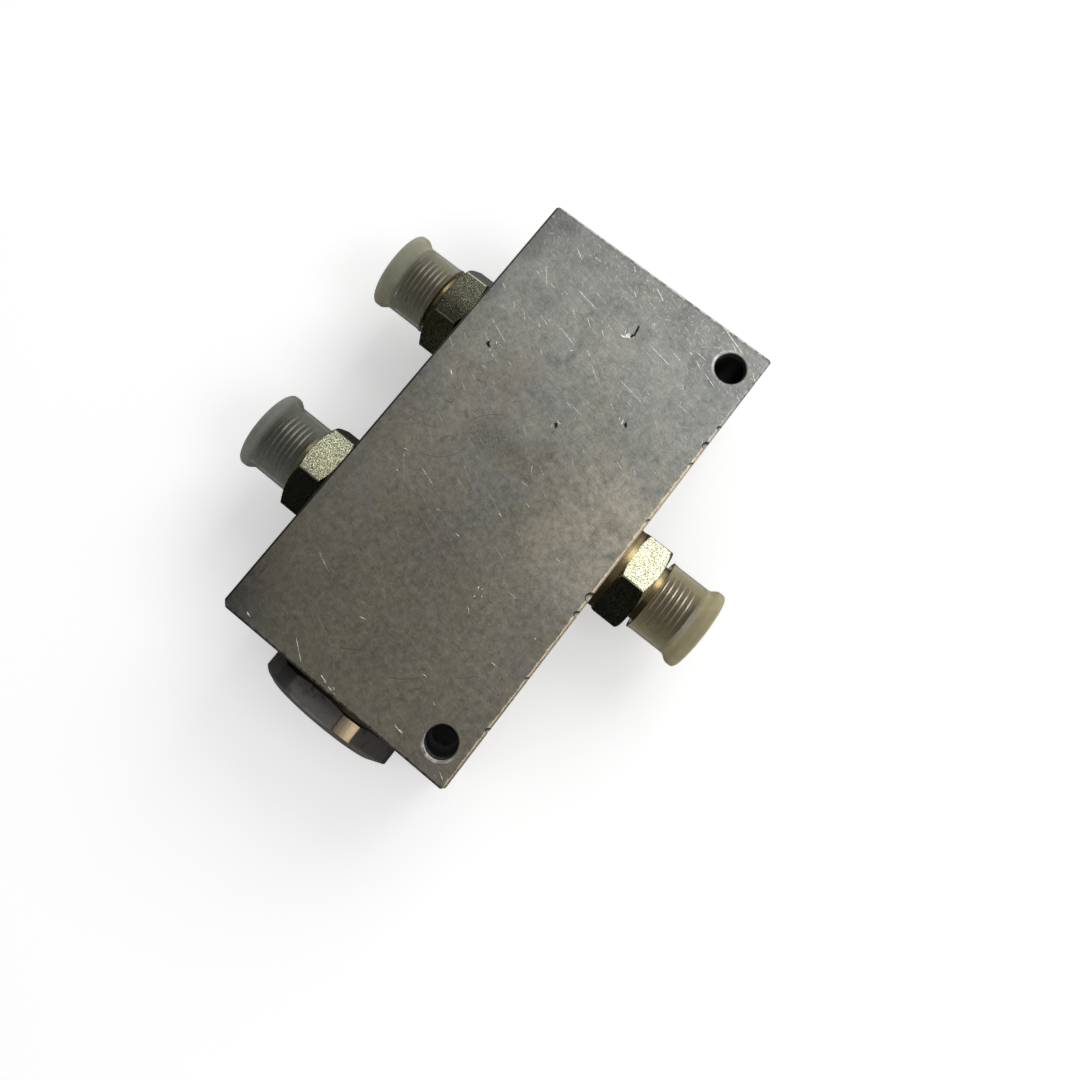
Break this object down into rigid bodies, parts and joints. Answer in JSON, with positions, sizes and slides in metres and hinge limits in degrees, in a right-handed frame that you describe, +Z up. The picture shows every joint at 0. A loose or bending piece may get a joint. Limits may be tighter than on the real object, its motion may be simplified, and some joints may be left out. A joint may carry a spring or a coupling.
{
  "type": "hydraulic flow divider valve",
  "caption": "Spool-type hydraulic flow divider: rectangular drilled block with inlet and outlet hex adapters under push-on caps, a screwed end plug and a spring-centred hollow spool.",
  "frame": {"origin": "centre of the block's bottom face", "axes": "+X along the spool bore towards the screwed end plug, +Y towards the inlet and the mounting holes, +Z up through the mounting holes"},
  "size_m": [0.1269, 0.1137, 0.042],
  "materials": {
    "block_aluminium": "raw milled aluminium, scratched and handled",
    "plug_steel": "turned steel with thin yellow passivation",
    "washer_copper": "dull oxidised copper",
    "adapter_steel": "zinc plated with yellow passivation, mottled",
    "seal_ring_steel": "passivated steel ring",
    "seal_rubber": "matt black rubber",
    "cap_plastic": "frosted translucent polyethylene",
    "spool_steel": "ground hardened steel",
    "disc_steel": "hardened steel",
    "spring_steel": "oiled spring steel"
  },
  "bodies": {
    "valve": {"valve_body": "block_aluminium", "end_plug": "plug_steel", "plug_washer": "washer_copper", "inlet_adapter": "adapter_steel", "outlet_adapter_a": "adapter_steel", "outlet_adapter_b": "adapter_steel", "inlet_seal_ring": "seal_ring_steel", "outlet_seal_ring_a": "seal_ring_steel", "outlet_seal_ring_b": "seal_ring_steel", "inlet_seal_lip": "seal_rubber", "outlet_seal_lip_a": "seal_rubber", "outlet_seal_lip_b": "seal_rubber", "centring_spring_a": "spring_steel", "centring_spring_b": "spring_steel"},
    "spool": {"divider_spool": "spool_steel", "orifice_disc_a": "disc_steel", "orifice_disc_b": "disc_steel", "snap_ring_a": "spring_steel", "snap_ring_b": "spring_steel"},
    "inlet_cap": {"inlet_cap": "cap_plastic"},
    "outlet_cap_a": {"outlet_cap_a": "cap_plastic"},
    "outlet_cap_b": {"outlet_cap_b": "cap_plastic"}
  },
  "joints": [
    {"name": "spool_slide", "type": "slide", "parent": "valve", "child": "spool", "axis": [1, 0, 0], "range_m": [-0.004, 0.004], "stiffness_N_per_m": 8100, "deforming": ["centring_spring_a", "centring_spring_b"]},
    {"name": "inlet_cap_pull", "type": "slide", "parent": "valve", "child": "inlet_cap", "axis": [0, 1, 0], "range_m": [0, 0.012]},
    {"name": "outlet_cap_a_pull", "type": "slide", "parent": "valve", "child": "outlet_cap_a", "axis": [0, -1, 0], "range_m": [0, 0.012]},
    {"name": "outlet_cap_b_pull", "type": "slide", "parent": "valve", "child": "outlet_cap_b", "axis": [0, -1, 0], "range_m": [0, 0.012]}
  ]
}
